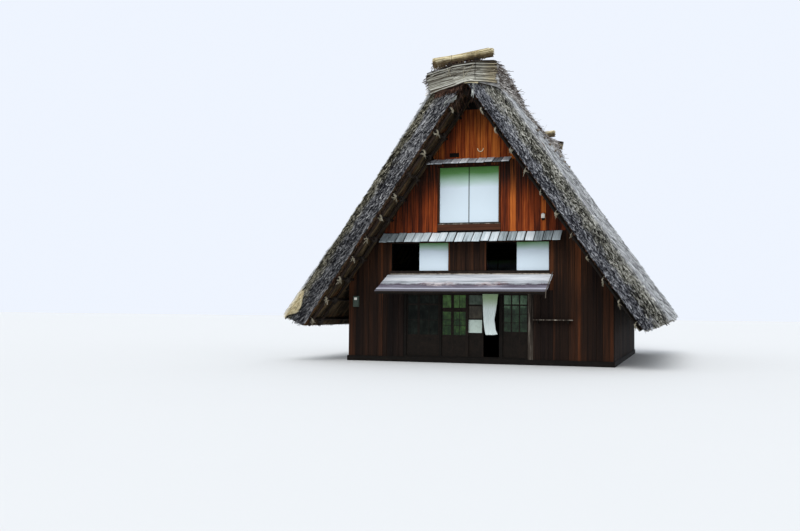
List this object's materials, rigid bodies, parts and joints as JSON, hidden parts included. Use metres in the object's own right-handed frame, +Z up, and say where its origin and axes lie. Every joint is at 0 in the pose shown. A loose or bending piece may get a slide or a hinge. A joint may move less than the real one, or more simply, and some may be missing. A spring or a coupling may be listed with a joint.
{
  "type": "thatched minka farmhouse",
  "caption": "Gabled timber farmhouse with a very steep thatched roof down to low eaves, boarded gable walls with paper screens, board pent roofs and sliding entrance doors.",
  "frame": {"origin": "on the ground under the middle of the house, at the bottom centre of its bounding box", "axes": "+Z up, +Y from the front gable to the rear gable along the ridge, +X to the right seen from the front"},
  "size_m": [11, 12.32, 8.8678],
  "materials": {
    "thatch": "weathered grey reed thatch",
    "ridge_thatch": "layered ridge thatch",
    "new_straw": "golden straw bundle",
    "roof_pole": "smoked round timber",
    "dark_board": "dark stained vertical boards",
    "red_board": "red-brown cedar boards",
    "grey_board": "silver weathered boards",
    "black_wood": "nearly black frame timber",
    "floor_wood": "worn floor boards",
    "rough_wood": "rough grey-brown post",
    "screen_paper": "white paper screen",
    "glazing": "panes in dark frames",
    "cloth": "plain cotton curtain",
    "white_enamel": "satin enamel",
    "grey_enamel": "satin enamel"
  },
  "bodies": {
    "house": {"ground_sill": "black_wood", "ground_floor": "floor_wood", "left_side_wall": "dark_board", "right_side_wall": "dark_board", "second_floor": "floor_wood", "third_floor": "floor_wood", "front_wall_left": "dark_board", "front_wall_right": "dark_board", "door_frame": "black_wood", "left_glazed_screen": "glazing", "lattice_window": "glazing", "rough_post": "rough_wood", "wall_shelf": "rough_wood", "meter_box": "grey_enamel", "door_curtain": "cloth", "front_second_storey_wall": "dark_board", "front_gable_wall": "red_board", "front_left_window_screen": "screen_paper", "front_right_window_screen": "screen_paper", "front_upper_window_screens": "screen_paper", "front_upper_pent_roof": "grey_board", "front_middle_pent_roof": "grey_board", "canopy_roof": "grey_board", "canopy_frame": "black_wood", "wall_lamp": "white_enamel", "rear_wall": "dark_board", "rear_lattice_window": "glazing", "rear_second_storey_wall": "dark_board", "rear_gable_wall": "red_board", "rear_left_window_screen": "screen_paper", "rear_right_window_screen": "screen_paper", "rear_upper_window_screens": "screen_paper", "rear_upper_pent_roof": "grey_board", "rear_middle_pent_roof": "grey_board", "left_thatch": "thatch", "right_thatch": "thatch", "left_roof_poles": "roof_pole", "right_roof_poles": "roof_pole", "a_frame_1": "roof_pole", "a_frame_2": "roof_pole", "a_frame_3": "roof_pole", "a_frame_4": "roof_pole", "needle_poles": "roof_pole", "ridge_cap": "ridge_thatch", "ridge_poles": "roof_pole", "front_ridge_bundle": "new_straw", "rear_ridge_bundle": "new_straw"},
    "entrance_door": {"entrance_door": "glazing"},
    "glazed_door": {"glazed_door": "glazing"}
  },
  "joints": [
    {"name": "entrance_door_slide", "type": "slide", "parent": "house", "child": "entrance_door", "axis": [1, 0, 0], "range_m": [-0.32, 0.475]},
    {"name": "glazed_door_slide", "type": "slide", "parent": "house", "child": "glazed_door", "axis": [1, 0, 0], "range_m": [0, 0.915]}
  ]
}
